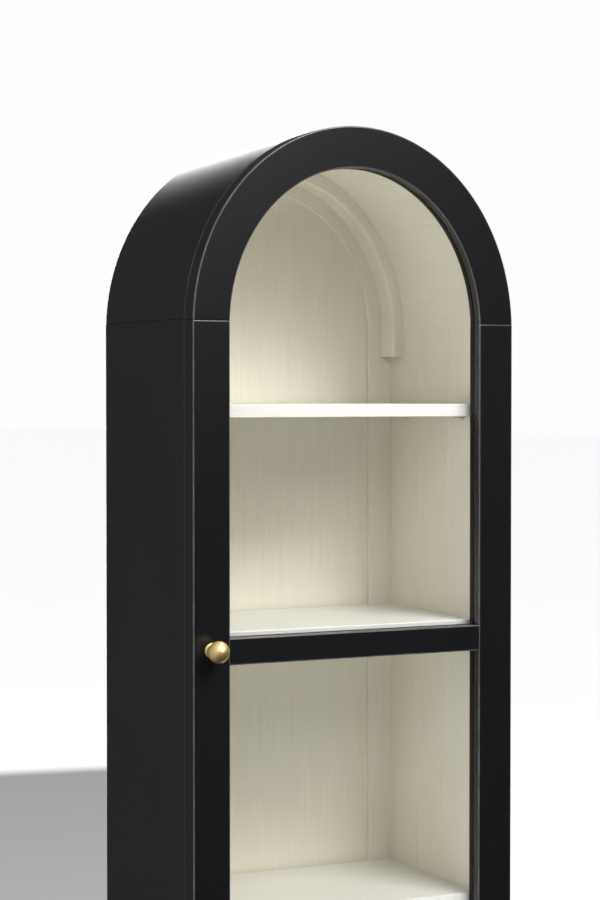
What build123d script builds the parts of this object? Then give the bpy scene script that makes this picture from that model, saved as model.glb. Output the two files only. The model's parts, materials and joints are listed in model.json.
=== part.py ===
from build123d import *
import os

# Arch-topped glazed tower display case.
# Frame: +Z up, +X to the right seen from the front, -Y towards the front.
# Origin: on the floor, at the middle of the overall depth over the knob, and
# midway between the two sides.
# All lengths in millimetres.

# ---------------------------------------------------------------- overall
WIDTH = 500.0            # over the sides, door the same width
HEIGHT = 1800.0          # floor to crown of the arch
DEPTH = 320.0            # door front to rear edge of the sides
HALF = WIDTH / 2
ARCH_RISE = 278.2        # crown above the centre of the arch
ARCH_Z = HEIGHT - ARCH_RISE      # height of the centre of the arch
SEAM_Z = 1531.0          # joint between the outer sides and the bent top
DOOR_SEAM_Z = 1528.8     # joint between the door stiles and the arched rail
LINING_SEAM_Z = 1525.0   # joint between the lining boards and the vault
FRAME_SEAM_Z = 1526.5    # joint between the back frame stiles and their arch

# ---------------------------------------------------------------- depths
DOOR_T = 28.0            # door thickness
DOOR_GAP = 2.0           # door back to carcass front
KNOB_OUT = 38.0          # how far the knob stands in front of the door
Y_FRONT = -(DEPTH + KNOB_OUT) / 2 + KNOB_OUT
Y_REAR = Y_FRONT + DEPTH
Y_MID = (Y_FRONT + Y_REAR) / 2
Y_DOOR_BACK = Y_FRONT + DOOR_T
Y_CASE = Y_DOOR_BACK + DOOR_GAP  # front edges of the carcass
Y_FRAME = Y_REAR - 26.0  # front face of the back frame
FRAME_T = 18.0
Y_PANEL = Y_FRAME + 7.0  # front face of the back panel
PANEL_T = 6.0
Y_FRAME_BACK = Y_FRAME + FRAME_T

# ---------------------------------------------------------------- carcass
FOOT_H = 12.0            # glide height
SIDE_T = 20.0            # outer side board
LINING_T = 18.0          # inner grooved lining
X_LINING = HALF - SIDE_T             # 230, outer face of the lining
X_IN = X_LINING - LINING_T           # 212, inner face of the lining
SHELL_B_IN = ARCH_RISE - 18.0        # inner rise of the outer shell
B_IN = 251.5                         # rise of the lined vault
GROOVE_Y = (Y_CASE + 88.5, Y_CASE + 179.0)  # vee joints in the lining
GROOVE_W = 3.2
GROOVE_D = 1.7
FLOOR_Z0 = 80.0          # underside of the floor board
FLOOR_T = 18.0
FLOOR_Z1 = FLOOR_Z0 + FLOOR_T

# back frame and panel
X_FRAME = 174.0          # inner edge of the back frame
B_FRAME = 207.4          # inner rise of the arched frame piece
FRAME_REBATE = 8.0
FRAME_RAIL_H = 52.0

# curved rib that ties the vault to the sides
RIB_A = 195.0
RIB_B = 229.2
RIB_Y0 = Y_FRAME - 37.0
RIB_Z0 = 1486.0

# shelves: height of each top face
SHELF_T = 18.0
SHELF_TOPS = {"shelf_upper": 1415.3, "shelf_middle": 1104.2, "shelf_lower": 707.0, "shelf_bottom": 403.0}
SHELF_Y0 = Y_CASE + 4.0

# ---------------------------------------------------------------- door
DOOR_Z0 = 80.0
SIGHT_A = 195.5          # half width of the glazed opening
SIGHT_B = 221.0          # rise of the glazed arch
REBATE = 8.0             # glass rebate width
LIP_T = 14.0             # frame in front of the glass
GLASS_T = 4.0
MID_Z0, MID_Z1 = 1062.4, 1099.0
BOTTOM_RAIL_Z1 = 150.0
Y_GLASS = Y_FRONT + LIP_T
Y_BEAD = Y_GLASS + GLASS_T

# knob
KNOB_X, KNOB_Z = -223.0, 1084.1
KNOB_R = 15.0
KNOB_REACH = KNOB_OUT - KNOB_R   # ball centre in front of the door face

# hinges
HINGE_Z = (230.0, 800.0, 1370.0)
HINGE_H = 76.0
HINGE_X = HALF + 4.5     # pin axis
HINGE_Y = (Y_DOOR_BACK + Y_CASE) / 2
KNUCKLE_R = 4.0
PIN_R = 2.0
BORE_R = 2.05
LEAF_T = 2.0
LEAF_X0 = 222.0
LEAF_GAP = 0.15          # each leaf face to the centre of the gap
KNUCKLE_GAP = 0.3

parts = {}


def box(x0, x1, y0, y1, z0, z1):
    return Pos((x0 + x1) / 2, (y0 + y1) / 2, (z0 + z1) / 2) * Box(x1 - x0, y1 - y0, z1 - z0)


def arch(a, b, zb, y0, y1):
    """Solid with straight sides and a half-elliptic top, from zb up, between y0 and y1."""
    frame = Plane(origin=(0, y0, 0), x_dir=(1, 0, 0), z_dir=(0, -1, 0))
    top = EllipticalCenterArc((0, ARCH_Z), a, b, start_angle=0, arc_size=180)
    foot = Polyline((-a, ARCH_Z), (-a, zb), (a, zb), (a, ARCH_Z))
    face = make_face([top.edge(), *foot.edges()])
    return extrude(frame * face, amount=-(y1 - y0))


def rod_x(x0, x1, y, z, r):
    return Pos((x0 + x1) / 2, y, z) * Rot(0, 90, 0) * Cylinder(r, abs(x1 - x0))


def rod_y(x, y0, y1, z, r):
    return Pos(x, (y0 + y1) / 2, z) * Rot(90, 0, 0) * Cylinder(r, abs(y1 - y0))


def rod_z(x, y, z0, z1, r):
    return Pos(x, y, (z0 + z1) / 2) * Cylinder(r, abs(z1 - z0))


def above(z, solid):
    return solid & box(-HALF - 20, HALF + 20, -DEPTH, DEPTH, z, HEIGHT + 50)


def leg(side, z, solid):
    """The left (-1) or right (1) straight part of an arched solid, up to height z."""
    x0, x1 = sorted((0, side * (HALF + 20)))
    return solid & box(x0, x1, -DEPTH, DEPTH, -50, z)


def screw(pos, direction, length, r, head_r, head_h):
    """Countersunk cross-head screw; pos is the centre of the head's flat face."""
    shank = Pos(0, 0, length / 2) * Cylinder(r, length)
    head = Pos(0, 0, head_h / 2) * Cone(head_r, r, head_h)
    tip = Pos(0, 0, length + r * 0.75) * Cone(r, 0.2, r * 1.5)
    full = shank + head + tip
    slot = Box(head_r * 1.05, head_r * 0.28, head_h * 1.1) + Box(head_r * 0.28, head_r * 1.05, head_h * 1.1)
    place = Plane(origin=pos, z_dir=direction).location
    s = place * (full - slot)
    s.hole = place * full        # what the screw removes from the boards it holds
    return s


def group(solids):
    return Compound(children=list(solids))


def cut(solid, tools):
    for t in tools:
        solid = solid - getattr(t, "hole", t)
    return solid


# ================================================================ carcass
# levelling blocks, glides and plinth
blocks, glides, glide_screws = [], [], []
for sx in (-1, 1):
    for y0, y1 in ((Y_CASE + 18, Y_CASE + 68), (Y_FRAME - 50, Y_FRAME)):
        xc, yc = sx * (X_LINING - 25), (y0 + y1) / 2
        s = screw((xc, yc, 3.0), (0, 0, 1), 30, 2.0, 4.0, 2.2)
        glide_screws.append(s)
        g = rod_z(xc, yc, 0, 6, 17) + Pos(xc, yc, 9) * Cone(15, 11, 6)
        g = fillet(g.edges().group_by(Axis.Z)[0], 1.5)
        glides.append(cut(g - rod_z(xc, yc, -1, 3.0, 4.2), [s]))
        blocks.append(cut(box(xc - 25, xc + 25, y0, y1, FOOT_H, FLOOR_Z0), [s]))
parts["corner_blocks"] = group(blocks)
parts["foot_glides"] = group(glides)
parts["glide_screws"] = group(glide_screws)
parts["plinth_front"] = box(-X_LINING, X_LINING, Y_CASE, Y_CASE + 18, FOOT_H, FLOOR_Z0)
parts["plinth_back"] = box(-X_LINING, X_LINING, Y_FRAME, Y_FRAME_BACK, FOOT_H, FLOOR_Z0)

# dowels
arch_dowels = [rod_z(sx * 239.7, y, SEAM_Z - 20, SEAM_Z + 20, 4.0) for sx in (-1, 1) for y in (Y_MID - 100, Y_MID + 15, Y_MID + 130)]
floor_dowels = [rod_x(sx * 210, sx * 242, y, (FLOOR_Z0 + FLOOR_Z1) / 2, 4.0) for sx in (-1, 1) for y in (Y_MID - 90, Y_MID + 15, Y_MID + 120)]
mid_z = SHELF_TOPS["shelf_middle"] - SHELF_T / 2
shelf_dowels = [rod_x(sx * 192, sx * 224, y, mid_z, 4.0) for sx in (-1, 1) for y in (Y_MID - 80, Y_MID + 80)]
parts["arch_joint_dowels"] = group(arch_dowels)
parts["floor_dowels"] = group(floor_dowels)
parts["shelf_dowels"] = group(shelf_dowels)

# ---- hinge geometry, needed by the boards that carry it
y_case_leaf0 = HINGE_Y + LEAF_GAP            # face towards the door
y_door_leaf1 = HINGE_Y - LEAF_GAP            # face towards the case
seg = HINGE_H / 5


def knuckle(z0, z1):
    return rod_z(HINGE_X, HINGE_Y, z0, z1, KNUCKLE_R)


case_leaves, door_leaves, pins, case_screws, door_screws = [], [], [], [], []
case_pockets, door_pockets = [], []
for zc in HINGE_Z:
    z0, z1 = zc - HINGE_H / 2, zc + HINGE_H / 2
    bore = rod_z(HINGE_X, HINGE_Y, z0 - 1, z1 + 1, BORE_R)
    case_plate = box(LEAF_X0, HALF, y_case_leaf0, y_case_leaf0 + LEAF_T, z0, z1)
    door_plate = box(LEAF_X0, HALF, y_door_leaf1 - LEAF_T, y_door_leaf1, z0, z1)
    case_pockets.append(case_plate)
    door_pockets.append(door_plate)
    case_leaf, door_leaf = case_plate, door_plate
    for i in range(5):
        k0 = z0 + i * seg + (KNUCKLE_GAP / 2 if i else 0)
        k1 = z0 + (i + 1) * seg - (KNUCKLE_GAP / 2 if i < 4 else 0)
        if i % 2 == 0:
            case_leaf = case_leaf + box(HALF - 1, HINGE_X, y_case_leaf0, y_case_leaf0 + LEAF_T, k0, k1) + knuckle(k0, k1)
        else:
            door_leaf = door_leaf + box(HALF - 1, HINGE_X, y_door_leaf1 - LEAF_T, y_door_leaf1, k0, k1) + knuckle(k0, k1)
    cs = [screw((xs, y_case_leaf0, zc + dz), (0, 1, 0), 22, 1.75, 3.5, 1.9) for xs, dz in ((240, -27), (234, 0), (240, 27))]
    ds = [screw((xs, y_door_leaf1, zc + dz), (0, -1, 0), 18, 1.75, 3.5, 1.9) for xs, dz in ((240, -27), (234, 0), (240, 27))]
    case_screws += cs
    door_screws += ds
    case_leaves.append(cut(case_leaf - bore, cs))
    door_leaves.append(cut(door_leaf - bore, ds))
    pin = rod_z(HINGE_X, HINGE_Y, z0 - 1.2, z1 + 1.2, PIN_R)
    for sgn, ze in ((-1, z0), (1, z1)):
        cap = rod_z(HINGE_X, HINGE_Y, min(ze, ze + sgn * 1.6), max(ze, ze + sgn * 1.6), 3.6)
        ball = Pos(HINGE_X, HINGE_Y, ze + sgn * 2.6) * Sphere(2.2)
        pin = pin + cap + ball
    pins.append(pin)
parts["hinge_case_leaves"] = group(case_leaves)
parts["hinge_door_leaves"] = group(door_leaves)
parts["hinge_pins"] = group(pins)
parts["hinge_case_screws"] = group(case_screws)
parts["hinge_door_screws"] = group(door_screws)

# ---- outer sides and bent top
hoop = arch(HALF, ARCH_RISE, FOOT_H, Y_CASE, Y_REAR) - arch(X_LINING, SHELL_B_IN, FOOT_H - 20, Y_CASE - 5, Y_REAR + 5)
left = leg(-1, SEAM_Z, hoop)
right = leg(1, SEAM_Z, hoop)
parts["side_panel_left"] = cut(left, arch_dowels[:3] + floor_dowels[:3])
parts["side_panel_right"] = cut(right, arch_dowels[3:] + floor_dowels[3:] + case_pockets + case_screws)
parts["arch_shell"] = cut(above(SEAM_Z, hoop), arch_dowels)

# ---- grooved lining boards and vault lining
inner_hoop = arch(X_LINING, SHELL_B_IN, FLOOR_Z1, Y_CASE, Y_FRAME) - arch(X_IN, B_IN, FLOOR_Z1 - 20, Y_CASE - 5, Y_FRAME + 5)


def lining(sx):
    b = leg(sx, LINING_SEAM_Z, inner_hoop)
    for gy in GROOVE_Y:
        xi = sx * X_IN
        tri = make_face(Polyline((xi - sx * 0.5, gy - GROOVE_W / 2 - 0.5), (xi - sx * 0.5, gy + GROOVE_W / 2 + 0.5),
                                 (xi + sx * GROOVE_D, gy), close=True).edges())
        b = b - extrude(Pos(0, 0, FLOOR_Z1 - 1) * tri, amount=LINING_SEAM_Z - FLOOR_Z1 + 2)
    return b


# shelf pins: a round peg in the lining and a flat paddle under the shelf
shelf_pins = []
for name, top in SHELF_TOPS.items():
    if name == "shelf_middle":
        continue
    zu = top - SHELF_T
    for sx in (-1, 1):
        for y in (Y_MID - 85, Y_MID + 85):
            peg = rod_x(sx * (X_IN - 2), sx * (X_IN + 10), y, zu - 2.5, 2.5)
            x0, x1 = sorted((sx * (X_IN - 12), sx * X_IN))
            shelf_pins.append(peg + box(x0, x1, y - 6, y + 6, zu - 2.5, zu))
parts["shelf_pins"] = group(shelf_pins)
left_pins = [p for p in shelf_pins if p.center().X < 0]
right_pins = [p for p in shelf_pins if p.center().X > 0]
parts["lining_panel_left"] = cut(lining(-1), left_pins + shelf_dowels[:2])
parts["lining_panel_right"] = cut(lining(1), right_pins + shelf_dowels[2:] + case_pockets + case_screws)
parts["arch_lining"] = above(LINING_SEAM_Z, inner_hoop)

# ---- curved rib, ends carried down past the seam
parts["arch_rib"] = arch(X_IN, B_IN, RIB_Z0, RIB_Y0, Y_FRAME) - arch(RIB_A, RIB_B, RIB_Z0 - 10, RIB_Y0 - 5, Y_FRAME + 5)

# ---- floor board
parts["floor_board"] = cut(box(-X_LINING, X_LINING, Y_CASE, Y_FRAME_BACK, FLOOR_Z0, FLOOR_Z1), floor_dowels)

# ---- back frame, panel and its pins
panel_edge_a = X_FRAME + FRAME_REBATE - 0.5
panel = arch(panel_edge_a, B_FRAME + FRAME_REBATE - 0.5, FLOOR_Z1 + FRAME_RAIL_H - FRAME_REBATE + 0.5, Y_PANEL, Y_PANEL + PANEL_T)
rebate_cut = arch(X_FRAME + FRAME_REBATE, B_FRAME + FRAME_REBATE, FLOOR_Z1 + FRAME_RAIL_H - FRAME_REBATE, Y_PANEL, Y_FRAME_BACK + 5)
back_pins = []
for sx in (-1, 1):
    for z in (200.0, 500.0, 800.0, 1100.0, 1400.0):
        x = sx * (X_FRAME + 4.0)
        back_pins.append(rod_y(x, Y_PANEL - 5, Y_PANEL + PANEL_T + 0.8, z, 0.8) + rod_y(x, Y_PANEL + PANEL_T, Y_PANEL + PANEL_T + 0.8, z, 1.8))
for x in (-120.0, 0.0, 120.0):
    z = FLOOR_Z1 + FRAME_RAIL_H - 4.0
    back_pins.append(rod_y(x, Y_PANEL - 5, Y_PANEL + PANEL_T + 0.8, z, 0.8) + rod_y(x, Y_PANEL + PANEL_T, Y_PANEL + PANEL_T + 0.8, z, 1.8))
zt = ARCH_Z + B_FRAME + 4.0
back_pins.append(rod_y(0, Y_PANEL - 5, Y_PANEL + PANEL_T + 0.8, zt, 0.8) + rod_y(0, Y_PANEL + PANEL_T, Y_PANEL + PANEL_T + 0.8, zt, 1.8))
parts["back_panel"] = cut(panel, back_pins)
parts["back_panel_pins"] = group(back_pins)
back_hoop = arch(X_LINING, SHELL_B_IN, FLOOR_Z1, Y_FRAME, Y_FRAME_BACK) - arch(X_FRAME, B_FRAME, FLOOR_Z1 - 20, Y_FRAME - 5, Y_FRAME_BACK + 5) - rebate_cut
fl = leg(-1, FRAME_SEAM_Z, back_hoop)
fr = leg(1, FRAME_SEAM_Z, back_hoop)
parts["back_frame_stile_left"] = cut(fl, back_pins[0:5])
parts["back_frame_stile_right"] = cut(fr, back_pins[5:10])
parts["back_frame_bottom_rail"] = cut(box(-X_FRAME, X_FRAME, Y_FRAME, Y_FRAME_BACK, FLOOR_Z1, FLOOR_Z1 + FRAME_RAIL_H) - rebate_cut, back_pins[10:13])

# tether plate for the anti-tip strap, on the rear of the arched frame piece
tz = 1756.0
plate = box(-32, 32, Y_FRAME_BACK, Y_FRAME_BACK + 2, tz - 14, tz + 14)
plate = fillet(plate.edges().filter_by(Axis.Y), 4)
eye = box(-9, 9, Y_FRAME_BACK + 2, Y_FRAME_BACK + 8, tz - 6, tz + 6)
plate = plate + eye
plate = plate - rod_z(0, Y_FRAME_BACK + 4.6, tz - 20, tz + 20, 2.6)
tether_screws = [screw((sx * 21, Y_FRAME_BACK + 2, tz), (0, -1, 0), 13, 1.9, 3.8, 1.8) for sx in (-1, 1)]
parts["tether_plate"] = cut(plate, tether_screws)
parts["tether_screws"] = group(tether_screws)
frame_arch = above(FRAME_SEAM_Z, back_hoop)
parts["back_frame_arch"] = cut(frame_arch, tether_screws + [back_pins[13]])

# ---- shelves
for name, top in SHELF_TOPS.items():
    if name == "shelf_middle":
        continue
    parts[name] = box(-X_IN + 0.5, X_IN - 0.5, SHELF_Y0, Y_FRAME - 0.5, top - SHELF_T, top)
mt = SHELF_TOPS["shelf_middle"]
catch_screws = [screw((x, Y_CASE + 10, mt - SHELF_T - 11), (0, 0, 1), 20, 1.5, 2.9, 1.6) for x in (-184.0, -156.0)]
parts["shelf_middle"] = cut(box(-X_IN, X_IN, SHELF_Y0, Y_FRAME, mt - SHELF_T, mt), shelf_dowels + catch_screws)

# ---- magnetic catch under the fixed middle shelf
cz1 = mt - SHELF_T
body = box(-192, -148, Y_CASE + 4, Y_CASE + 18, cz1 - 11, cz1) + box(-180, -160, Y_CASE + 1, Y_CASE + 20, cz1 - 13, cz1)
magnet = box(-177, -163, Y_CASE - 0.4, Y_CASE + 18, cz1 - 11, cz1 - 5)
parts["catch_magnet"] = magnet
parts["catch_body"] = cut(body - magnet, catch_screws)
parts["catch_screws"] = group(catch_screws)

# ---- bumpers on the latch-side front edge
bumpers = [rod_y(-240, Y_CASE - 1.7, Y_CASE, z, 5.0) for z in (260.0, 880.0, 1460.0)]
parts["door_bumpers"] = group(bumpers)

# ================================================================ door
rebate_up = arch(SIGHT_A + REBATE, SIGHT_B + REBATE, MID_Z1 - REBATE, Y_GLASS, Y_DOOR_BACK + 5)
rebate_lo = box(-SIGHT_A - REBATE, SIGHT_A + REBATE, Y_GLASS, Y_DOOR_BACK + 5, BOTTOM_RAIL_Z1 - REBATE, MID_Z0 + REBATE)

ydc = (Y_FRONT + Y_DOOR_BACK) / 2
dowel_mid = [rod_x(sx * 172, sx * 218, ydc, (MID_Z0 + MID_Z1) / 2, 4.0) for sx in (-1, 1)]
dowel_bot = [rod_x(sx * 172, sx * 218, ydc, z, 4.0) for sx in (-1, 1) for z in (98.0, 124.0)]
dowel_arch = [rod_z(sx * x, ydc, DOOR_SEAM_Z - 20, DOOR_SEAM_Z + 20, 4.0) for sx in (-1, 1) for x in (214.0, 234.0)]
parts["door_dowels"] = group(dowel_mid + dowel_bot + dowel_arch)

# knob: ball on a short neck, rosette behind it, screw from the back of the stile
knob_axis = Plane(origin=(KNOB_X, Y_FRONT, KNOB_Z), x_dir=(1, 0, 0), z_dir=(0, -1, 0))
knob_profile = make_face([
    *Polyline((0, 2.4), (6.4, 2.4), (6.4, 3.4), (5.2, 5.0), (5.2, KNOB_REACH - (KNOB_R ** 2 - 5.2 ** 2) ** 0.5)).edges(),
    ThreePointArc((5.2, KNOB_REACH - (KNOB_R ** 2 - 5.2 ** 2) ** 0.5), (KNOB_R, KNOB_REACH), (0, KNOB_REACH + KNOB_R)).edge(),
    Line((0, KNOB_REACH + KNOB_R), (0, 2.4)).edge(),
])
knob_solid = revolve(Plane.XZ * knob_profile, Axis.Z)
rosette_profile = make_face(Polyline((0, 0), (10.5, 0), (10.5, 1.2), (9.4, 2.2), (8.6, 2.4), (0, 2.4), close=True).edges())
rosette = revolve(Plane.XZ * rosette_profile, Axis.Z)
bolt_shank = Pos(0, 0, -3.25) * Cylinder(2.0, 43.5)
bolt_head = Pos(0, 0, -DOOR_T + 1.8) * Cylinder(4.4, 2.6)
bolt = bolt_shank + bolt_head - (Pos(0, 0, -DOOR_T + 0.7) * (Box(5.2, 1.1, 1.4) + Box(1.1, 5.2, 1.4)))
knob_loc = knob_axis.location
bolt_w = knob_loc * bolt
parts["knob"] = knob_loc * (knob_solid - Pos(0, 0, -3.25) * Cylinder(2.0, 43.5))
parts["knob_rosette"] = knob_loc * (rosette - Pos(0, 0, 0) * Cylinder(2.0, 20))
parts["knob_screw"] = bolt_w
knob_bore = knob_loc * (Pos(0, 0, -20) * Cylinder(2.0, 45) + Pos(0, 0, -DOOR_T + 1.55) * Cylinder(4.4, 3.1))

# strike plate
strike_screw = screw((-170.0, Y_DOOR_BACK + 1.3, (MID_Z0 + MID_Z1) / 2), (0, -1, 0), 12, 1.4, 2.7, 1.2)
strike = box(-185, -155, Y_DOOR_BACK, Y_DOOR_BACK + 1.3, (MID_Z0 + MID_Z1) / 2 - 8, (MID_Z0 + MID_Z1) / 2 + 8)
strike = fillet(strike.edges().filter_by(Axis.Y), 2)
parts["strike_plate"] = cut(strike, [strike_screw])
parts["strike_screw"] = strike_screw

door_hoop = arch(HALF, ARCH_RISE, DOOR_Z0, Y_FRONT, Y_DOOR_BACK) - arch(SIGHT_A, SIGHT_B, DOOR_Z0 - 20, Y_FRONT - 5, Y_DOOR_BACK + 5) - rebate_up - rebate_lo
stile_l = leg(-1, DOOR_SEAM_Z, door_hoop)
stile_r = leg(1, DOOR_SEAM_Z, door_hoop)
parts["door_stile_left"] = cut(stile_l, [dowel_mid[0]] + dowel_bot[:2] + dowel_arch[:2] + [knob_bore])
parts["door_stile_right"] = cut(stile_r, [dowel_mid[1]] + dowel_bot[2:] + dowel_arch[2:] + door_pockets + door_screws)
parts["door_arch_rail"] = cut(above(DOOR_SEAM_Z, door_hoop), dowel_arch)
parts["door_mid_rail"] = cut(box(-SIGHT_A, SIGHT_A, Y_FRONT, Y_DOOR_BACK, MID_Z0, MID_Z1) - rebate_up - rebate_lo, dowel_mid + [strike_screw])
parts["door_bottom_rail"] = cut(box(-SIGHT_A, SIGHT_A, Y_FRONT, Y_DOOR_BACK, DOOR_Z0, BOTTOM_RAIL_Z1) - rebate_lo, dowel_bot)

# glass and beads
CLR = 1.0
parts["glass_upper"] = arch(SIGHT_A + REBATE - CLR, SIGHT_B + REBATE - CLR, MID_Z1 - REBATE + CLR, Y_GLASS, Y_BEAD)
parts["glass_lower"] = box(-SIGHT_A - REBATE + CLR, SIGHT_A + REBATE - CLR, Y_GLASS, Y_BEAD, BOTTOM_RAIL_Z1 - REBATE + CLR, MID_Z0 + REBATE - CLR)
xb0, xb1 = SIGHT_A, SIGHT_A + REBATE
bead_hoop = arch(xb1, SIGHT_B + REBATE, MID_Z1, Y_BEAD, Y_DOOR_BACK) - arch(xb0, SIGHT_B, MID_Z1 - 20, Y_BEAD - 5, Y_DOOR_BACK + 5)
parts["bead_upper_arch"] = above(DOOR_SEAM_Z, bead_hoop)
parts["bead_upper_left"] = leg(-1, DOOR_SEAM_Z, bead_hoop)
parts["bead_upper_right"] = leg(1, DOOR_SEAM_Z, bead_hoop)
parts["bead_upper_bottom"] = box(-xb1, xb1, Y_BEAD, Y_DOOR_BACK, MID_Z1 - REBATE, MID_Z1)
parts["bead_lower_left"] = box(-xb1, -xb0, Y_BEAD, Y_DOOR_BACK, BOTTOM_RAIL_Z1, MID_Z0)
parts["bead_lower_right"] = box(xb0, xb1, Y_BEAD, Y_DOOR_BACK, BOTTOM_RAIL_Z1, MID_Z0)
parts["bead_lower_top"] = box(-xb1, xb1, Y_BEAD, Y_DOOR_BACK, MID_Z0, MID_Z0 + REBATE)
parts["bead_lower_bottom"] = box(-xb1, xb1, Y_BEAD, Y_DOOR_BACK, BOTTOM_RAIL_Z1 - REBATE, BOTTOM_RAIL_Z1)

# ================================================================ output
os.makedirs("parts", exist_ok=True)
for name, shape in parts.items():
    shape.label = name
    export_step(shape, os.path.join("parts", name + ".step"))
    bb = shape.bounding_box()
    print(f"{name:26s} solids {len(shape.solids()):3d}  x {bb.min.X:8.2f} {bb.max.X:8.2f}  y {bb.min.Y:8.2f} {bb.max.Y:8.2f}  z {bb.min.Z:8.2f} {bb.max.Z:8.2f}")
print(len(parts), "nodes")
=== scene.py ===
import bpy
import bmesh
import json
import math
import numpy as np
from mathutils import Vector, Matrix

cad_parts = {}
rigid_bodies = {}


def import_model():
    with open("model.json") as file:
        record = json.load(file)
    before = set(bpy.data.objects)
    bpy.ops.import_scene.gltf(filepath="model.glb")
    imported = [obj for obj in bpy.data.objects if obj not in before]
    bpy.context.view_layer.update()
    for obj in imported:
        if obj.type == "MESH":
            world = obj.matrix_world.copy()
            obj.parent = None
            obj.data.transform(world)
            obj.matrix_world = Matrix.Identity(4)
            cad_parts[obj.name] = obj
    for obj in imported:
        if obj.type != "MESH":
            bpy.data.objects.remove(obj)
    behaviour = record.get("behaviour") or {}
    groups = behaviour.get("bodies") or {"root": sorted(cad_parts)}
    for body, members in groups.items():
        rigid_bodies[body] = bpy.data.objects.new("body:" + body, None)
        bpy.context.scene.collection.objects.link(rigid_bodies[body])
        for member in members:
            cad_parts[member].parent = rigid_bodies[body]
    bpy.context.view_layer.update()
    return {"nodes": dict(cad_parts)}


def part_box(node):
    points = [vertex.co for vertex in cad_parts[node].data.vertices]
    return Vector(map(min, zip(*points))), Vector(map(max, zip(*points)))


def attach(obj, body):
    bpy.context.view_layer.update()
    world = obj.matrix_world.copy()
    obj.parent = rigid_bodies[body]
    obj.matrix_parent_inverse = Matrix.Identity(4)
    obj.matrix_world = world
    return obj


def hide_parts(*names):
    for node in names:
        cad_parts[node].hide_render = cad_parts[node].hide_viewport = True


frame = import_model()
NODES = frame["nodes"]
MM = 0.001
scene = bpy.context.scene


# ------------------------------------------------------------------ sizes read from the frame
def lo(n):
    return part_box(n)[0]


def hi(n):
    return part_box(n)[1]


CROWN = hi("arch_shell").z
HALF = hi("side_panel_right").x
SHELL_SEAM = hi("side_panel_left").z
X_LIN = hi("lining_panel_right").x
SHELL_RISE_IN = hi("arch_lining").z
Y_CASE = lo("arch_shell").y
Y_REAR = hi("arch_shell").y
Y_FRAME = hi("arch_lining").y
Y_FRAME_BACK = hi("back_frame_arch").y
Y_FRONT = lo("door_arch_rail").y
Y_DOOR_BACK = hi("door_arch_rail").y
DOOR_SEAM = hi("door_stile_left").z
LIN_SEAM = hi("lining_panel_left").z
FRAME_SEAM = hi("back_frame_stile_left").z
SIGHT_A = hi("door_mid_rail").x
Y_GLASS = lo("glass_upper").y
Y_BEAD = hi("glass_upper").y
GLASS_GAP = 0.001
BEAD_TOP = hi("bead_upper_arch").z
REBATE = 0.008
RIB_Y0 = lo("arch_rib").y
RIB_Z0 = lo("arch_rib").z
RIB_TOP = hi("arch_rib").z
X_IN = hi("arch_rib").x
ARCH_Z = CROWN - 0.2782            # centre of every arch
RISE = CROWN - ARCH_Z
SHELL_B = SHELL_RISE_IN - ARCH_Z   # inner rise of the outer shell
B_IN = RIB_TOP - ARCH_Z            # rise of the lined vault
SIGHT_B = BEAD_TOP - REBATE - ARCH_Z
RIB_A, RIB_B = 0.195, 0.2292
FRAME_A, FRAME_B = 0.174, 0.2074
Y_PANEL = lo("back_panel").y


# ------------------------------------------------------------------ mesh helpers
def rounded(poly, radii, seg):
    """Closed polygon with each corner replaced by an arc of seg+1 points; returns points and an on-arc flag."""
    n = len(poly)
    pts, flag = [], []
    for i in range(n):
        p = np.array(poly[i], float)
        a = np.array(poly[i - 1], float) - p
        b = np.array(poly[(i + 1) % n], float) - p
        la, lb = np.hypot(*a), np.hypot(*b)
        a, b = a / la, b / lb
        r = radii[i]
        if r <= 0:
            pts.append(p)
            flag.append(0.0)
            continue
        cosang = max(-1.0, min(1.0, float(a @ b)))
        ang = math.acos(cosang)
        t = min(r / math.tan(ang / 2), 0.49 * la, 0.49 * lb)
        r = t * math.tan(ang / 2)
        bis = a + b
        bis = bis / np.hypot(*bis)
        c = p + bis * (r / math.sin(ang / 2))
        p0, p1 = p + a * t, p + b * t
        a0 = math.atan2(*(p0 - c)[::-1])
        a1 = math.atan2(*(p1 - c)[::-1])
        d = (a1 - a0 + math.pi) % (2 * math.pi) - math.pi
        for k in range(seg + 1):
            w = a0 + d * k / seg
            pts.append(c + r * np.array([math.cos(w), math.sin(w)]))
            flag.append(1.0 if 0 < k < seg else 0.55)
    return np.array(pts), flag


def inset(poly, d):
    """Polygon offset inwards by d (corner order counter-clockwise)."""
    if d == 0:
        return [tuple(p) for p in poly]
    n = len(poly)
    area = sum(poly[i][0] * poly[(i + 1) % n][1] - poly[(i + 1) % n][0] * poly[i][1] for i in range(n))
    s = 1.0 if area > 0 else -1.0
    out = []
    for i in range(n):
        p0, p1, p2 = (np.array(poly[j % n], float) for j in (i - 1, i, i + 1))
        e0 = (p1 - p0) / np.hypot(*(p1 - p0))
        e1 = (p2 - p1) / np.hypot(*(p2 - p1))
        n0 = s * np.array([-e0[1], e0[0]])
        n1 = s * np.array([-e1[1], e1[0]])
        den = 1 + float(n0 @ n1)
        out.append(tuple(p1 + d * (n0 + n1) / den))
    return out


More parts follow.
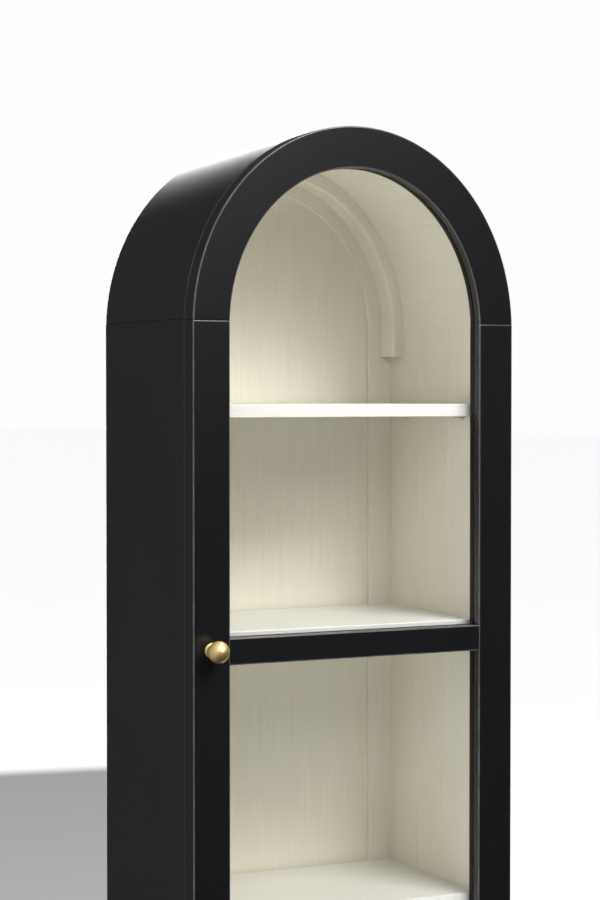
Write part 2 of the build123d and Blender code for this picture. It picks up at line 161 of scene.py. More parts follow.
def finish_mesh(name, verts, faces, painted_arris_highlight, material, body, stands_for, smooth_deg=32.0):
    me = bpy.data.meshes.new(name)
    me.from_pydata([tuple(map(float, v)) for v in verts], [], faces)
    bm = bmesh.new()
    bm.from_mesh(me)
    bmesh.ops.recalc_face_normals(bm, faces=bm.faces)
    for f in bm.faces:
        f.smooth = True
    lim = math.radians(smooth_deg)
    for e in bm.edges:
        e.smooth = not (len(e.link_faces) == 2 and e.calc_face_angle(0.0) > lim)
    bm.to_mesh(me)
    bm.free()
    # flags the rounded faces that get the painted arris highlight, a lighter colour standing in for light catching the
    # edges
    att = me.attributes.new("painted_arris_highlight", "FLOAT", "FACE")
    att.data.foreach_set("value", np.array([1.0 if max(painted_arris_highlight[i] for i in f) > 0.9 else 0.0 for f in faces], np.float32))
    me.materials.append(material)
    ob = bpy.data.objects.new(name, me)
    scene.collection.objects.link(ob)
    wn = ob.modifiers.new("wn", "WEIGHTED_NORMAL")
    wn.keep_sharp = True
    wn.weight = 80
    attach(ob, body)
    if stands_for:
        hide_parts(*stands_for)
    return ob


def skin(loops):
    """Faces joining successive closed loops of equal size, with the first and last closed by a flat cap."""
    n, m = len(loops), len(loops[0])
    faces = []
    for i in range(n - 1):
        for j in range(m):
            k = (j + 1) % m
            faces.append((i * m + j, i * m + k, (i + 1) * m + k, (i + 1) * m + j))
    faces.append(tuple(range(m))[::-1])
    faces.append(tuple((n - 1) * m + j for j in range(m)))
    return faces


def hoop(name, outer, inner, section, radii, z0, end_r, material, body, stands_for, seg=4, steps=168):
    """A member bent round the arch. outer and inner are (half width, rise) of its two curves. section(T) gives the
    cross-section as (distance inwards from the outer curve, y), where T is the local width. It starts and ends at z0."""
    (ao, bo), (ai, bi) = outer, inner

    def on(a, b, z, side):
        if z <= ARCH_Z:
            return np.array([side * a, z])
        return np.array([side * a * math.sqrt(max(0.0, 1 - ((z - ARCH_Z) / b) ** 2)), z])

    def ring(O, I, d):
        T = float(np.hypot(*(I - O)))
        u = (I - O) / T
        poly = inset(section(T), d)
        rr = [max(r - d, 1e-5) if r > 0 else 0.0 for r in radii]
        pts, flag = rounded(poly, rr, seg)
        return [(O[0] + u[0] * s, y, O[1] + u[1] * s) for s, y in pts], flag

    # vertices on rounded corners are flagged for the painted arris highlight
    loops, painted_arris_highlight = [], []

    def add(O, I, d, w):
        r, f = ring(O, I, d)
        loops.append(r)
        painted_arris_highlight.extend([max(x, w) for x in f])

    ends = [(end_r * (1 - math.sin(q)), end_r * (1 - math.cos(q)), 0.0) for q in np.linspace(0, math.pi / 2, 5)] if end_r > 0 else [(0.0, 0.0, 0.0)]
    for d, dz, w in ends:
        add(on(ao, bo, z0 + dz, 1), on(ai, bi, z0 + dz, 1), d, w)
    zs = z0 + (end_r if end_r > 0 else 0)
    if zs < ARCH_Z - 0.002:
        for z in np.linspace(zs, ARCH_Z, 6)[1:]:
            add(on(ao, bo, z, 1), on(ai, bi, z, 1), 0.0, 0.0)
        zs = ARCH_Z
    to, ti = math.asin((zs - ARCH_Z) / bo), math.asin((zs - ARCH_Z) / bi)
    for k in range(1, steps):
        a1 = to + (math.pi - 2 * to) * k / steps
        a2 = ti + (math.pi - 2 * ti) * k / steps
        add(np.array([ao * math.cos(a1), ARCH_Z + bo * math.sin(a1)]), np.array([ai * math.cos(a2), ARCH_Z + bi * math.sin(a2)]), 0.0, 0.0)
    z_end = z0 + (end_r if end_r > 0 else 0)
    if z_end < ARCH_Z - 0.002:
        for z in np.linspace(ARCH_Z, z_end, 6)[:-1]:
            add(on(ao, bo, z, -1), on(ai, bi, z, -1), 0.0, 0.0)
    for d, dz, w in ends[::-1]:
        add(on(ao, bo, z0 + dz, -1), on(ai, bi, z0 + dz, -1), d, w)
    verts = [p for lp in loops for p in lp]
    return finish_mesh(name, verts, skin(loops), painted_arris_highlight, material, body, stands_for)


def dress(node, radius, material, body, seg=3, pick=None, min_len=0.006, name=None, smooth_deg=32.0, flat=1.6, clamp=True):
    """A welded copy of a CAD node with its long arrises rounded over, the rounded faces flagged for a painted
    highlight; pick(mid point of the arris, direction) may leave some sharp.
    """
    src = NODES[node].data
    bm = bmesh.new()
    bm.from_mesh(src)
    bmesh.ops.remove_doubles(bm, verts=bm.verts, dist=2e-6)
    bmesh.ops.dissolve_limit(bm, angle_limit=math.radians(flat), verts=bm.verts, edges=bm.edges, delimit=set())
    bm.edges.ensure_lookup_table()
    # the bevel faces are flagged for the painted arris highlight
    highlight_layer = bm.faces.layers.float.new("painted_arris_highlight")
    chosen = []
    if radius > 0:
        for e in bm.edges:
            if len(e.link_faces) != 2 or e.calc_length() < min_len:
                continue
            if e.calc_face_angle_signed(0.0) < math.radians(40):
                continue
            mid = (e.verts[0].co + e.verts[1].co) / 2
            if pick is not None and not pick(mid, (e.verts[1].co - e.verts[0].co).normalized()):
                continue
            chosen.append(e)
        if chosen:
            made = bmesh.ops.bevel(bm, geom=chosen, offset=radius, offset_type="OFFSET", segments=seg, profile=0.5, affect="EDGES", clamp_overlap=clamp, material=-1)
            for f in made["faces"]:
                f[highlight_layer] = 1.0
    me = bpy.data.meshes.new(name or node + ".v")
    big = [f for f in bm.faces if len(f.verts) > 4]
    bmesh.ops.triangulate(bm, faces=big, ngon_method="EAR_CLIP")
    bmesh.ops.recalc_face_normals(bm, faces=bm.faces)
    lim = math.radians(smooth_deg)
    for f in bm.faces:
        f.smooth = True
    for e in bm.edges:
        e.smooth = not (len(e.link_faces) == 2 and e.calc_face_angle(0.0) > lim)
    bm.to_mesh(me)
    bm.free()
    me.materials.append(material)
    ob = bpy.data.objects.new(name or node + ".v", me)
    scene.collection.objects.link(ob)
    wn = ob.modifiers.new("wn", "WEIGHTED_NORMAL")
    wn.keep_sharp = True
    wn.weight = 80
    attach(ob, body)
    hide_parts(node)
    return ob


def lathe(name, profile, origin, axis, material, body, stands_for, steps=96, smooth_deg=28.0):
    """Turned piece: profile is a list of (radius, distance along axis) from one end of the axis to the other."""
    axis = Vector(axis).normalized()
    u = axis.orthogonal().normalized()
    v = axis.cross(u)
    o = Vector(origin)
    verts, faces, rows = [], [], []
    for r, h in profile:
        if r <= 1e-9:
            rows.append([len(verts)])
            verts.append(o + axis * h)
        else:
            base = len(verts)
            for k in range(steps):
                a = 2 * math.pi * k / steps
                verts.append(o + axis * h + u * (r * math.cos(a)) + v * (r * math.sin(a)))
            rows.append(list(range(base, base + steps)))
    for a, b in zip(rows, rows[1:]):
        for k in range(steps):
            k1 = (k + 1) % steps
            if len(a) == 1 and len(b) == 1:
                continue
            if len(a) == 1:
                faces.append((a[0], b[k], b[k1]))
            elif len(b) == 1:
                faces.append((a[k], b[0], a[k1]))
            else:
                faces.append((a[k], b[k], b[k1], a[k1]))
    return finish_mesh(name, verts, faces, [0.0] * len(verts), material, body, stands_for, smooth_deg)


# ------------------------------------------------------------------ materials
def new_mat(name):
    m = bpy.data.materials.new(name)
    m.use_nodes = True
    nt = m.node_tree
    for n in list(nt.nodes):
        nt.nodes.remove(n)
    out = nt.nodes.new("ShaderNodeOutputMaterial")
    bsdf = nt.nodes.new("ShaderNodeBsdfPrincipled")
    nt.links.new(bsdf.outputs[0], out.inputs[0])
    return m, nt, bsdf


def N(nt, kind, **kw):
    n = nt.nodes.new(kind)
    for k, v in kw.items():
        setattr(n, k, v)
    return n


def coords(nt, scale):
    tc = N(nt, "ShaderNodeTexCoord")
    mp = N(nt, "ShaderNodeMapping")
    mp.inputs["Scale"].default_value = scale
    nt.links.new(tc.outputs["Object"], mp.inputs["Vector"])
    return mp.outputs["Vector"]


def noise(nt, vec, scale, detail=4.0, rough=0.55, distort=0.0):
    n = N(nt, "ShaderNodeTexNoise")
    n.inputs["Scale"].default_value = scale
    n.inputs["Detail"].default_value = detail
    n.inputs["Roughness"].default_value = rough
    n.inputs["Distortion"].default_value = distort
    nt.links.new(vec, n.inputs["Vector"])
    return n.outputs["Fac"]


def ramp(nt, fac, stops):
    r = N(nt, "ShaderNodeValToRGB")
    el = r.color_ramp.elements
    while len(el) < len(stops):
        el.new(0.5)
    for e, (p, c) in zip(el, stops):
        e.position = p
        e.color = (*c, 1.0) if len(c) == 3 else c
    nt.links.new(fac, r.inputs["Fac"])
    return r.outputs["Color"]


def mapr(nt, fac, a, b, c, d):
    m = N(nt, "ShaderNodeMapRange")
    m.inputs["From Min"].default_value = a
    m.inputs["From Max"].default_value = b
    m.inputs["To Min"].default_value = c
    m.inputs["To Max"].default_value = d
    nt.links.new(fac, m.inputs["Value"])
    return m.outputs["Result"]


def math_(nt, op, a, b=None):
    m = N(nt, "ShaderNodeMath", operation=op)
    for i, x in enumerate((a, b)):
        if x is None:
            continue
        if isinstance(x, (int, float)):
            m.inputs[i].default_value = x
        else:
            nt.links.new(x, m.inputs[i])
    return m.outputs[0]


def mixc(nt, fac, a, b, blend="MIX"):
    m = N(nt, "ShaderNodeMix", data_type="RGBA", blend_type=blend)
    if isinstance(fac, (int, float)):
        m.inputs["Factor"].default_value = fac
    else:
        nt.links.new(fac, m.inputs["Factor"])
    for sock, x in ((m.inputs["A"], a), (m.inputs["B"], b)):
        if isinstance(x, tuple):
            sock.default_value = (*x, 1.0)
        else:
            nt.links.new(x, sock)
    return m.outputs["Result"]


def bump(nt, height, strength, distance, normal=None):
    b = N(nt, "ShaderNodeBump")
    b.inputs["Strength"].default_value = strength
    b.inputs["Distance"].default_value = distance
    nt.links.new(height, b.inputs["Height"])
    if normal is not None:
        nt.links.new(normal, b.inputs["Normal"])
    return b.outputs["Normal"]


# mask of the painted arris highlight: the flagged rounded faces, broken up by noise
def painted_highlight_mask(nt, vec, low, high, scale=38.0):
    at = N(nt, "ShaderNodeAttribute", attribute_name="painted_arris_highlight")
    spots = noise(nt, vec, scale, 3.0, 0.6)
    return math_(nt, "MULTIPLY", at.outputs["Fac"], mapr(nt, spots, 0.35, 0.7, low, high))


def painted(name, base, dark, light, rough, grain_axis, spec=0.5, coat=0.0, highlight_colour=None, grain_bump=0.25, peel=0.12, highlight_amount=(0.1, 0.9), seed=0.0, drift=1.0):
    """Painted or lacquered board: slow tone drift, brush or grain lines along one axis, faint orange peel, and a
    painted highlight on the rounded arrises, a lighter colour standing in for light catching them.
    """
    m, nt, b = new_mat(name)
    iso = coords(nt, (1, 1, 1))
    squeeze = [1.0, 1.0, 1.0]
    squeeze[grain_axis] = 0.045
    along = coords(nt, tuple(squeeze))
    slow = noise(nt, iso, 2.1 + seed, 3.0, 0.5)
    lines = noise(nt, along, 240.0, 5.0, 0.62, 0.15)
    broad = noise(nt, along, 42.0, 3.0, 0.5, 0.4)
    col = ramp(nt, slow, [(0.3, dark), (0.5, base), (0.72, light)])
    tone = mapr(nt, lines, 0.3, 0.7, 0.965, 1.035)
    g = N(nt, "ShaderNodeCombineColor")
    for i in range(3):
        nt.links.new(tone, g.inputs[i])
    col = mixc(nt, 1.0, col, g.outputs[0], "MULTIPLY")
    # painted highlight: the flagged arrises take the lighter highlight colour and a lower roughness
    highlight_mask = painted_highlight_mask(nt, iso, *highlight_amount)
    if highlight_colour is not None:
        col = mixc(nt, highlight_mask, col, highlight_colour)
    nt.links.new(col, b.inputs["Base Color"])
    r0 = mapr(nt, slow, 0.3, 0.7, rough - 0.03 * drift, rough + 0.035 * drift)
    r1 = math_(nt, "ADD", r0, mapr(nt, lines, 0.3, 0.7, -0.018 * drift, 0.018 * drift))
    r2 = math_(nt, "ADD", r1, math_(nt, "MULTIPLY", highlight_mask, -0.06))
    nt.links.new(r2, b.inputs["Roughness"])
    b.inputs["Specular IOR Level"].default_value = spec
    if coat:
        b.inputs["Coat Weight"].default_value = coat
        b.inputs["Coat Roughness"].default_value = 0.22
    fine = noise(nt, iso, 900.0, 2.0, 0.5)
    n1 = bump(nt, broad, grain_bump, 0.00022)
    n2 = bump(nt, lines, grain_bump * 0.8, 0.00007, n1)
    n3 = bump(nt, fine, peel, 0.00005, n2)
    nt.links.new(n3, b.inputs["Normal"])
    return m


def bare_wood(name):
    m, nt, b = new_mat(name)
    along = coords(nt, (1, 0.07, 1))
    rings = noise(nt, along, 55.0, 6.0, 0.6, 1.2)
    pores = noise(nt, along, 420.0, 3.0, 0.7)
    col = ramp(nt, rings, [(0.32, (0.36, 0.22, 0.11)), (0.5, (0.53, 0.36, 0.20)), (0.66, (0.62, 0.45, 0.27))])
    nt.links.new(mixc(nt, mapr(nt, pores, 0.62, 0.72, 0.0, 0.4), col, (0.24, 0.14, 0.07)), b.inputs["Base Color"])
    nt.links.new(mapr(nt, pores, 0.3, 0.7, 0.6, 0.8), b.inputs["Roughness"])
    nt.links.new(bump(nt, pores, 0.4, 0.0002), b.inputs["Normal"])
    return m


def metal(name, base, shade, rough, scratch_axis, scratch=0.25, spots=0.0):
    m, nt, b = new_mat(name)
    iso = coords(nt, (1, 1, 1))
    sq = [1.0, 1.0, 1.0]
    sq[scratch_axis] = 0.03
    along = coords(nt, tuple(sq))
    slow = noise(nt, iso, 60.0, 3.0, 0.5)
    lines = noise(nt, along, 2200.0, 3.0, 0.6)
    col = ramp(nt, slow, [(0.3, shade), (0.62, base)])
    if spots:
        tarn = noise(nt, iso, 260.0, 4.0, 0.7)
        col = mixc(nt, mapr(nt, tarn, 0.6, 0.78, 0.0, spots), col, tuple(c * 0.55 for c in shade))
    nt.links.new(col, b.inputs["Base Color"])
    b.inputs["Metallic"].default_value = 1.0
    r = math_(nt, "ADD", mapr(nt, slow, 0.3, 0.7, rough - 0.04, rough + 0.05), mapr(nt, lines, 0.3, 0.7, -0.03, 0.03))
    nt.links.new(r, b.inputs["Roughness"])
    nt.links.new(bump(nt, lines, scratch, 0.00002), b.inputs["Normal"])
    return m


def plastic(name, base, dark, rough):
    m, nt, b = new_mat(name)
    iso = coords(nt, (1, 1, 1))
    slow = noise(nt, iso, 35.0, 3.0, 0.5)
    grit = noise(nt, iso, 1500.0, 2.0, 0.5)
    nt.links.new(ramp(nt, slow, [(0.3, dark), (0.65, base)]), b.inputs["Base Color"])
    nt.links.new(mapr(nt, grit, 0.3, 0.7, rough - 0.05, rough + 0.06), b.inputs["Roughness"])
    nt.links.new(bump(nt, grit, 0.3, 0.00006), b.inputs["Normal"])
    return m


# the highlight colour is a painted highlight on the rounded arrises, lighter than the black, standing in for light
# catching them
BLACK = dict(base=(0.0048, 0.0047, 0.0060), dark=(0.0041, 0.0040, 0.0052), light=(0.0057, 0.0056, 0.0070), rough=0.30, highlight_colour=(0.10, 0.10, 0.107), grain_bump=0.05, peel=0.05, drift=0.3, spec=0.40, highlight_amount=(0.55, 1.0))
# the cream and off-white highlight colours are painted arris highlights too, a little lighter than the paint
CREAM = dict(base=(0.845, 0.808, 0.695), dark=(0.822, 0.782, 0.665), light=(0.862, 0.828, 0.72), rough=0.56, highlight_colour=(0.86, 0.83, 0.74))
SHELF = dict(base=(0.775, 0.757, 0.710), dark=(0.755, 0.735, 0.685), light=(0.793, 0.777, 0.733), rough=0.42, highlight_colour=(0.90, 0.885, 0.84))

black_z = painted("black_lacquer_upright", grain_axis=2, **BLACK)
black_x = painted("black_lacquer_rail", grain_axis=0, **BLACK)
black_bent = painted("black_lacquer_bent", grain_axis=1, **BLACK)
# the case boards get a fainter painted arris highlight
CASE_BLACK = dict(BLACK, highlight_colour=(0.022, 0.022, 0.024))
case_z = painted("black_case_upright", grain_axis=2, **CASE_BLACK)
case_x = painted("black_case_rail", grain_axis=0, **CASE_BLACK)
case_bent = painted("black_case_bent", grain_axis=1, **CASE_BLACK)
# the glazing beads get the faintest painted arris highlight
BEAD_BLACK = dict(BLACK, highlight_colour=(0.012, 0.012, 0.013), rough=0.45, spec=0.15)
bead_z = painted("black_bead_upright", grain_axis=2, **BEAD_BLACK)
bead_x = painted("black_bead_rail", grain_axis=0, **BEAD_BLACK)
bead_bent = painted("black_bead_bent", grain_axis=1, **BEAD_BLACK)
cream_z = painted("cream_paint_upright", grain_axis=2, grain_bump=0.04, peel=0.05, drift=0.5, spec=0.35, **CREAM)
cream_x = painted("cream_paint_rail", grain_axis=0, grain_bump=0.04, peel=0.05, drift=0.5, spec=0.35, **CREAM)
cream_bent = painted("cream_paint_bent", grain_axis=1, grain_bump=0.04, peel=0.05, drift=0.5, spec=0.35, **CREAM)
shelf_x = painted("offwhite_paint_shelf", grain_axis=0, grain_bump=0.05, peel=0.05, drift=0.5, spec=0.4, **SHELF)
wood_m = bare_wood("beech_bare")
brass_m = metal("brass_satin", (0.83, 0.66, 0.31), (0.74, 0.58, 0.25), 0.50, 0, 0.25, 0.18)
brass_hinge_m = metal("brass_hinge", (0.74, 0.56, 0.28), (0.60, 0.44, 0.20), 0.36, 2, 0.3, 0.3)
steel_m = metal("steel_zinc", (0.62, 0.62, 0.63), (0.50, 0.50, 0.52), 0.36, 2, 0.35, 0.2)
magnet_m = metal("magnet_grey", (0.20, 0.20, 0.21), (0.13, 0.13, 0.14), 0.5, 0, 0.35, 0.3)
white_pl = plastic("catch_white", (0.80, 0.79, 0.75), (0.72, 0.71, 0.66), 0.42)
glide_pl = plastic("glide_black", (0.030, 0.030, 0.031), (0.018, 0.018, 0.019), 0.5)
rubber_m = plastic("rubber_black", (0.022, 0.022, 0.022), (0.014, 0.014, 0.014), 0.72)


def glass_material():
    m, nt, b = new_mat("glass_pane")
    out = [n for n in nt.nodes if n.type == "OUTPUT_MATERIAL"][0]
    b.inputs["Transmission Weight"].default_value = 1.0
    b.inputs["IOR"].default_value = 1.46
    iso = coords(nt, (1, 1, 1))
    slow = noise(nt, iso, 3.0, 2.0, 0.5)
    nt.links.new(ramp(nt, slow, [(0.3, (0.975, 0.985, 0.98)), (0.7, (0.985, 0.99, 0.985))]), b.inputs["Base Color"])
    smear = noise(nt, coords(nt, (1, 1, 0.4)), 14.0, 4.0, 0.6)
    nt.links.new(mapr(nt, smear, 0.45, 0.8, 0.0, 0.02), b.inputs["Roughness"])
    lp = N(nt, "ShaderNodeLightPath")
    clear = N(nt, "ShaderNodeBsdfTransparent")
    clear.inputs["Color"].default_value = (0.96, 0.97, 0.965, 1)
    mx = N(nt, "ShaderNodeMixShader")
    far = math_(nt, "MAXIMUM", lp.outputs["Is Shadow Ray"], lp.outputs["Is Diffuse Ray"])
    nt.links.new(far, mx.inputs[0])
    nt.links.new(b.outputs[0], mx.inputs[1])
    nt.links.new(clear.outputs[0], mx.inputs[2])
    nt.links.new(mx.outputs[0], out.inputs[0])
    return m


glass_m = glass_material()


# ------------------------------------------------------------------ the case: bent members
def rect(y0, y1):
    return lambda T: [(0.0, y0), (T, y0), (T, y1), (0.0, y1)]


hoop("arch_shell.v", (HALF, RISE), (X_LIN, SHELL_B), rect(Y_CASE, Y_REAR), [0.0015, 0.0008, 0.0012, 0.0018], SHELL_SEAM, 0.0007,
     case_bent, "case", ["arch_shell"])
hoop("arch_lining.v", (X_LIN, SHELL_B), (X_IN, B_IN), rect(Y_CASE, Y_FRAME), [0.0004, 0.0012, 0.0004, 0.0004], LIN_SEAM, 0.0004,
     cream_bent, "case", ["arch_lining"])
hoop("arch_rib.v", (X_IN, B_IN), (RIB_A, RIB_B), rect(RIB_Y0, Y_FRAME), [0.0006, 0.0045, 0.0006, 0.0004], RIB_Z0, 0.0012,
     cream_bent, "case", ["arch_rib"], seg=6)
hoop("back_frame_arch.v", (X_LIN, SHELL_B), (FRAME_A, FRAME_B),
     lambda T: [(0.0, Y_FRAME), (T, Y_FRAME), (T, Y_PANEL), (T - REBATE, Y_PANEL), (T - REBATE, Y_FRAME_BACK), (0.0, Y_FRAME_BACK)],
     [0.0003, 0.0014, 0.0003, 0.0, 0.0005, 0.0005], FRAME_SEAM, 0.0004, cream_bent, "case", ["back_frame_arch"])

# ------------------------------------------------------------------ the case: boards
for side in ("left", "right"):
    dress(f"side_panel_{side}", 0.0012, case_z, "case", min_len=0.001, clamp=False,
          pick=lambda m, d: abs(abs(m.x) - HALF) < 0.0006)
    dress(f"lining_panel_{side}", 0.0005, cream_z, "case", min_len=0.05)
    dress(f"back_frame_stile_{side}", 0.0012, cream_z, "case", min_len=0.05)
for n in ("plinth_front", "plinth_back"):
    dress(n, 0.0012, case_x, "case")
dress("back_frame_bottom_rail", 0.0008, cream_x, "case", min_len=0.05)
dress("back_panel", 0.0003, cream_z, "case", min_len=0.1)
dress("floor_board", 0.0010, cream_x, "case", min_len=0.03)
for n in ("shelf_upper", "shelf_middle", "shelf_lower", "shelf_bottom"):
    dress(n, 0.0014, shelf_x, "case", min_len=0.012)
dress("corner_blocks", 0.0010, wood_m, "case", min_len=0.03)

# ------------------------------------------------------------------ the door
T_SEC = lambda T: [(0.0, Y_FRONT), (T, Y_FRONT), (T, Y_GLASS), (T - REBATE, Y_GLASS), (T - REBATE, Y_DOOR_BACK), (0.0, Y_DOOR_BACK)]
hoop("door_arch_rail.v", (HALF, RISE), (SIGHT_A, SIGHT_B), T_SEC, [0.0019, 0.0016, 0.0006, 0.0, 0.0006, 0.0016], DOOR_SEAM, 0.0013,
     black_bent, "door", ["door_arch_rail"])
hoop("bead_upper_arch.v", (SIGHT_A + REBATE, SIGHT_B + REBATE), (SIGHT_A, SIGHT_B), rect(Y_BEAD, Y_DOOR_BACK), [0.0002, 0.0005, 0.0016, 0.0003], DOOR_SEAM, 0.0003,
     bead_bent, "door", ["bead_upper_arch"])


def stile_arrises(mid, d):
    if abs(mid.y - Y_FRONT) > 0.0005:
        return False
    return abs(d.z) > 0.9 or abs(mid.z - DOOR_SEAM) < 0.0005 or mid.z < lo("door_stile_left").z + 0.0005


for side in ("left", "right"):
    dress(f"door_stile_{side}", 0.0016, black_z, "door", min_len=0.0008, pick=stile_arrises, clamp=False)
dress("door_mid_rail", 0.0016, black_x, "door", min_len=0.05, pick=lambda m, d: abs(d.x) > 0.9)
dress("door_bottom_rail", 0.0016, black_x, "door", min_len=0.05, pick=lambda m, d: abs(d.x) > 0.9)
for n, mat in (("bead_upper_left", bead_z), ("bead_upper_right", bead_z), ("bead_upper_bottom", bead_x), ("bead_lower_left", bead_z),
               ("bead_lower_right", bead_z), ("bead_lower_top", bead_x), ("bead_lower_bottom", bead_x)):
    dress(n, 0.0009, mat, "door", min_len=0.05)

# ------------------------------------------------------------------ glass, kept as CAD nodes
for n in ("glass_upper", "glass_lower"):
    NODES[n].data.materials.clear()
    NODES[n].data.materials.append(glass_m)
    bv = NODES[n].modifiers.new("weld", "WELD")
    bv.merge_threshold = 2e-6

# ------------------------------------------------------------------ knob
kc = (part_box("knob")[0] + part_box("knob")[1]) / 2
knob_r = (hi("knob").x - lo("knob").x) / 2
ball_y = lo("knob").y + knob_r
rose_t = hi("knob_rosette").y - lo("knob_rosette").y
base_y = hi("knob_rosette").y           # door face
reach = base_y - ball_y                 # ball centre in front of the door
prof = [(0.0021, rose_t), (0.0064, rose_t), (0.0066, rose_t + 0.0003), (0.0064, rose_t + 0.0010)]
for k in range(7):
    a = k / 6
    prof.append((0.0052 + 0.0012 * (1 - math.sin(a * math.pi / 2)), rose_t + 0.0010 + 0.0020 * a))
neck_end = reach - math.sqrt(knob_r ** 2 - 0.0052 ** 2)
prof.append((0.0052, neck_end - 0.0003))
a0 = math.asin(0.0052 / knob_r)
for k in range(49):
    a = a0 + (math.pi - a0) * k / 48
    prof.append((knob_r * math.sin(a) if k < 48 else 0.0, reach - knob_r * math.cos(a)))
lathe("knob.v", prof, (kc.x, base_y, kc.z), (0, -1, 0), brass_m, "door", ["knob"], steps=128)
rr = (hi("knob_rosette").x - lo("knob_rosette").x) / 2
rose = [(0.0021, 0.0), (rr - 0.0002, 0.0), (rr, 0.0002), (rr, 0.0011), (rr - 0.0002, 0.0014), (rr - 0.0009, 0.0020), (rr - 0.0018, rose_t), (0.0021, rose_t)]
lathe("knob_rosette.v", rose, (kc.x, base_y, kc.z), (0, -1, 0), brass_m, "door", ["knob_rosette"], steps=96)

# ------------------------------------------------------------------ hardware
for n, mat, body, slot_ in (
        ("hinge_case_leaves", brass_hinge_m, "case", "brass"), ("hinge_door_leaves", brass_hinge_m, "door", "brass"),
        ("hinge_pins", brass_hinge_m, "case", "brass"), ("hinge_case_screws", brass_hinge_m, "case", "brass"),
        ("hinge_door_screws", brass_hinge_m, "door", "brass"), ("back_panel_pins", steel_m, "case", "steel"),
        ("shelf_pins", steel_m, "case", "steel"), ("tether_plate", steel_m, "case", "steel"), ("tether_screws", steel_m, "case", "steel"),
        ("glide_screws", steel_m, "case", "steel"), ("foot_glides", glide_pl, "case", "glide_plastic"),
        ("catch_body", white_pl, "case", "catch_plastic"), ("catch_magnet", magnet_m, "case", "magnet"), ("catch_screws", steel_m, "case", "steel"),
        ("door_bumpers", rubber_m, "case", "rubber"), ("strike_plate", steel_m, "door", "steel"), ("strike_screw", steel_m, "door", "steel"),
        ("knob_screw", steel_m, "door", "steel"), ("arch_joint_dowels", wood_m, "case", "bare_wood"), ("floor_dowels", wood_m, "case", "bare_wood"),
        ("shelf_dowels", wood_m, "case", "bare_wood"), ("door_dowels", wood_m, "door", "bare_wood")):
    dress(n, 0.0, mat, body, smooth_deg=34.0, flat=0.5)

# ------------------------------------------------------------------ stage: pale floor
fm, fnt, fb = new_mat("floor_pale")
fcol = noise(fnt, coords(fnt, (1, 1, 1)), 0.6, 3.0, 0.5)
FLOOR_TONE = 0.62
fnt.links.new(ramp(fnt, fcol, [(0.3, (FLOOR_TONE * 0.995,) * 3), (0.7, (FLOOR_TONE * 1.005,) * 3)]), fb.inputs["Base Color"])
fb.inputs["Roughness"].default_value = 0.9
fb.inputs["Specular IOR Level"].default_value = 0.1
me = bpy.data.meshes.new("floor")
bm = bmesh.new()
ring = [bm.verts.new((44 * math.cos(2 * math.pi * k / 96), 41.2 + 44 * math.sin(2 * math.pi * k / 96), -0.0002)) for k in range(96)]
bm.faces.new(ring)
bm.to_mesh(me)
bm.free()
me.materials.append(fm)
floor = bpy.data.objects.new("floor", me)
scene.collection.objects.link(floor)
floor.visible_glossy = False

# ------------------------------------------------------------------ light
world = bpy.data.worlds.new("studio")
scene.world = world
world.use_nodes = True
wnt = world.node_tree
for n in list(wnt.nodes):
    wnt.nodes.remove(n)
wout = wnt.nodes.new("ShaderNodeOutputWorld")
seen = wnt.nodes.new("ShaderNodeBackground")
seen.inputs["Color"].default_value = (0.983, 0.983, 0.983, 1)
seen.inputs["Strength"].default_value = 1.0
soft = wnt.nodes.new("ShaderNodeBackground")
tc = wnt.nodes.new("ShaderNodeTexCoord")
sep = wnt.nodes.new("ShaderNodeSeparateXYZ")
wnt.links.new(tc.outputs["Generated"], sep.inputs[0])


def wstep(sock, a, b):
    r = wnt.nodes.new("ShaderNodeMapRange")
    r.interpolation_type = "SMOOTHSTEP"
    r.inputs["From Min"].default_value = a
    r.inputs["From Max"].default_value = b
    wnt.links.new(sock, r.inputs["Value"])
    return r.outputs[0]


def wmath(op, a, b, name=None):
    r = wnt.nodes.new("ShaderNodeMath")
    r.operation = op
    if name:
        r.name = name
    for i, x in enumerate((a, b)):
        if isinstance(x, (int, float)):
            r.inputs[i].default_value = x
        else:
            wnt.links.new(x, r.inputs[i])
    return r.outputs[0]


# brightness all round, from above, from behind, and from the upper left
W_ALL, W_UP, W_BACK, W_LEFT = 0.045, 0.9, 0.05, 0.50
up = wstep(sep.outputs["Z"], 0.55, 0.95)
back = wmath("MULTIPLY", wstep(sep.outputs["Y"], 0.2, 0.9), wstep(sep.outputs["Z"], 0.0, 0.35))
left = wstep(wmath("MULTIPLY", sep.outputs["X"], -1.0), 0.2, 0.95)
total = wmath("ADD", wmath("MULTIPLY", up, W_UP, "w_up"), W_ALL, "w_all")
total = wmath("ADD", total, wmath("MULTIPLY", back, W_BACK, "w_back"))
total = wmath("ADD", total, wmath("MULTIPLY", left, W_LEFT, "w_left"))
soft.inputs["Color"].default_value = (0.97, 0.95, 1.0, 1)
wnt.links.new(total, soft.inputs["Strength"])
lp = wnt.nodes.new("ShaderNodeLightPath")
mix = wnt.nodes.new("ShaderNodeMixShader")
wnt.links.new(lp.outputs["Is Camera Ray"], mix.inputs[0])
wnt.links.new(soft.outputs[0], mix.inputs[1])
wnt.links.new(seen.outputs[0], mix.inputs[2])
wnt.links.new(mix.outputs[0], wout.inputs[0])


def area(name, pos, target, size, watts, colour=(1, 1, 1), size_y=None):
    d = bpy.data.lights.new(name, "AREA")
    d.shape = "RECTANGLE" if size_y else "DISK"
    d.size = size
    if size_y:
        d.size_y = size_y
    d.energy = watts
    d.color = colour
    o = bpy.data.objects.new(name, d)
    o.location = pos
    o.rotation_euler = (Vector(target) - Vector(pos)).to_track_quat("-Z", "Y").to_euler()
    scene.collection.objects.link(o)
    return o


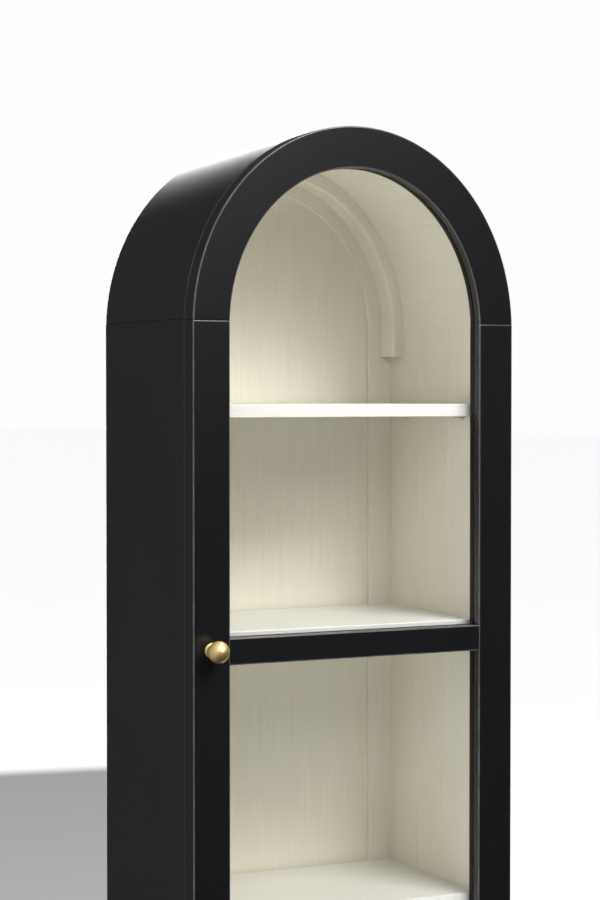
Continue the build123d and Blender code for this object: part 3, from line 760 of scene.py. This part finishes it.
FLAG_TOP = 1.437
key = area("key_soft", (0.95, -2.6, 3.8), (0, 0, 1.2), 1.6, 132.0, (1.0, 0.99, 0.975), 1.2)
front = area("front_soft", (0.55, -3.7, 3.15), (0, 0, 1.2), 1.6, 37.0, (1.0, 0.995, 0.985), 1.3)
left_hi = area("left_soft", (-2.2, -2.9, 2.9), (0, 0, 1.4), 1.4, 19.0, (1.0, 1.0, 1.0), 1.4)
fill = area("left_card", (-3.2, -1.9, 1.35), (0, -0.1, 1.35), 0.5, 6.0, (1.0, 1.0, 1.0), 2.6)
side_card = area("front_card", (1.0, -4.0, 2.35), (0, 0, 1.4), 0.9, 1.2, (1.0, 1.0, 1.0), 0.9)

# a lit card behind the case, for the sheen along the top and the left side; it lights only the outer black boards
glow = area("back_card", (0.35, 1.05, 1.30), (0.35, 0.0, 1.30), 1.2, 62.0, (1.0, 0.99, 0.99), 1.7)
glow.data.shape = "ELLIPSE"
glow.visible_camera = False
outer = bpy.data.collections.new("outer_black")
for n in ("arch_shell.v", "side_panel_left.v", "side_panel_right.v"):
    outer.objects.link(bpy.data.objects[n])
glow.light_linking.receiver_collection = outer


# the shadow on the floor behind the case comes from its own lamp, which lights only the floor
sd = bpy.data.lights.new("floor_sun", "SUN")
sd.energy = 10.0
sd.angle = math.radians(0.9)
sun = bpy.data.objects.new("floor_sun", sd)
SUN = Vector((0.25, 0.933, -0.35)).normalized()
sun.rotation_euler = SUN.to_track_quat("-Z", "Y").to_euler()
scene.collection.objects.link(sun)
only = bpy.data.collections.new("floor_only")
scene.collection.children.link(only)
only.objects.link(floor)
sun.light_linking.receiver_collection = only

# a flag behind the case, which the camera does not see, squares off the top of that shadow
flag_me = bpy.data.meshes.new("flag")
bm = bmesh.new()
fv = [bm.verts.new(v) for v in ((-0.3, 1.2, 0.0), (1.2, 1.2, 0.0), (1.2, 1.2, FLAG_TOP - 0.057), (0.616, 1.2, FLAG_TOP - 0.027), (0.197, 1.2, FLAG_TOP), (-0.3, 1.2, FLAG_TOP + 0.013))]
bm.faces.new(fv)
bm.to_mesh(flag_me)
bm.free()
flag_me.materials.append(fm)
flag = bpy.data.objects.new("flag", flag_me)
scene.collection.objects.link(flag)
flag.visible_camera = flag.visible_diffuse = flag.visible_glossy = flag.visible_transmission = False
no_flag = bpy.data.collections.new("all_but_flag")
no_flag.objects.link(flag)
no_flag.collection_objects[0].light_linking.link_state = "EXCLUDE"
for lamp in (key, front, left_hi, fill, side_card, glow):
    lamp.light_linking.blocker_collection = no_flag

# ------------------------------------------------------------------ camera
cam_d = bpy.data.cameras.new("camera")
cam_d.sensor_width = 36.0
cam_d.sensor_fit = "AUTO"
cam_d.lens = 2199.66 / 900 * 36.0
cam_d.clip_end = 200.0
cam_d.dof.use_dof = False
cam = bpy.data.objects.new("camera", cam_d)
yaw, pitch = math.radians(26.385), math.radians(1.5235)
look = Vector((math.sin(yaw) * math.cos(pitch), math.cos(yaw) * math.cos(pitch), -math.sin(pitch)))
cam.location = (-1.42953, Y_FRONT - 2.69940, 1.43307)
cam.rotation_euler = look.to_track_quat("-Z", "Y").to_euler()
scene.collection.objects.link(cam)
scene.camera = cam

scene.view_settings.view_transform = "Standard"
scene.view_settings.look = "None"
scene.view_settings.exposure = 0.0
scene.view_settings.gamma = 1.0
